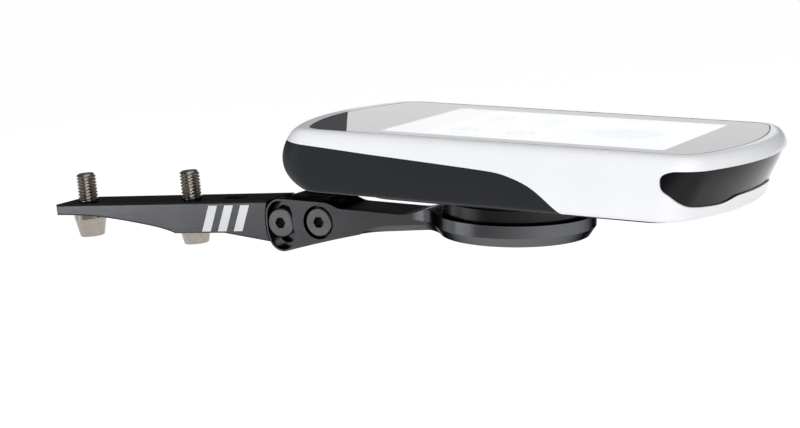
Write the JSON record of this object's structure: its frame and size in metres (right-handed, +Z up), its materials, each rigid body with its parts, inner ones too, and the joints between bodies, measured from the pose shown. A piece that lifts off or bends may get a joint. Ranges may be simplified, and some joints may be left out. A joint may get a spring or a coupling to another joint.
{
  "type": "cycling computer",
  "caption": "Touchscreen cycling computer with a two-part case, locked by a quarter turn on a hinged out-front arm with a two-bolt bracket.",
  "frame": {"origin": "on the bracket's top face, midway between its two bolts", "axes": "+X towards the front of the bicycle, +Y to the rider's left, +Z up out of the bracket's top face"},
  "size_m": [0.1861, 0.0586, 0.0318],
  "materials": {
    "case_white": "glossy moulded, smooth",
    "case_black": "fine satin texture",
    "gloss_black": "mirror-smooth",
    "seal_rubber": "matt silicone",
    "steel_screw": "plain turned",
    "glass": "polished, dark edge",
    "foam_tape": "matt closed-cell foam",
    "lcd": "pale reflective display",
    "tray_metal": "stamped",
    "circuit_board": "solder resist",
    "shield_metal": "stamped, tin plated",
    "battery_foil": "foil pouch",
    "buzzer_plastic": "moulded",
    "ceramic": "fired ceramic",
    "steel_shell": "stamped, plated",
    "switch_plastic": "moulded",
    "button_rubber": "satin",
    "lug_plastic": "moulded",
    "insert_plastic": "fine moulded",
    "black_anodised": "machined and black anodised",
    "nickel_steel": "turned, nickel plated",
    "grey_steel": "satin oxide"
  },
  "bodies": {
    "base": {"base_bracket": "black_anodised", "stem_bolts": "nickel_steel", "pivot_bolt": "grey_steel", "lock_bolt": "grey_steel", "hinge_nuts": "grey_steel"},
    "arm": {"arm": "black_anodised", "socket_insert": "insert_plastic", "insert_screws": "steel_screw"},
    "computer": {"top_case": "case_white", "rear_case": "case_black", "nose_panel": "gloss_black", "case_seal": "seal_rubber", "case_screws": "steel_screw", "cover_glass": "glass", "glass_tape": "foam_tape", "display_panel": "lcd", "display_tray": "tray_metal", "main_board": "circuit_board", "shield_cans": "shield_metal", "battery": "battery_foil", "buzzer": "buzzer_plastic", "gps_antenna": "ceramic", "usb_socket": "steel_shell", "card_slot": "steel_shell", "switches": "switch_plastic", "flap_pin": "steel_screw", "bayonet_lug": "lug_plastic"},
    "lap_button": {"lap_button": "button_rubber"},
    "start_button": {"start_button": "button_rubber"},
    "power_button": {"power_button": "button_rubber"},
    "usb_flap": {"usb_flap": "button_rubber"}
  },
  "joints": [
    {"name": "arm_tilt", "type": "hinge", "parent": "base", "child": "arm", "pos_m": [0.0556, 0, -0.00535], "axis": [0, 1, 0], "range_deg": [-9, 15]},
    {"name": "computer_twist", "type": "hinge", "parent": "arm", "child": "computer", "pos_m": [0.1038, 0, -0.00296], "axis": [0.0958, 0, 0.9954], "range_deg": [0, 90]},
    {"name": "lap_press", "type": "slide", "parent": "computer", "child": "lap_button", "axis": [0.9954, 0, -0.0958], "range_m": [0, 0.0005], "stiffness_N_per_m": 4000},
    {"name": "start_press", "type": "slide", "parent": "computer", "child": "start_button", "axis": [0.9954, 0, -0.0958], "range_m": [0, 0.0005], "stiffness_N_per_m": 4000},
    {"name": "power_press", "type": "slide", "parent": "computer", "child": "power_button", "axis": [0, -1, 0], "range_m": [0, 0.0005], "stiffness_N_per_m": 4000},
    {"name": "flap_swing", "type": "hinge", "parent": "computer", "child": "usb_flap", "pos_m": [0.05603, 0, 0.01058], "axis": [0, -1, 0], "range_deg": [0, 90]}
  ]
}
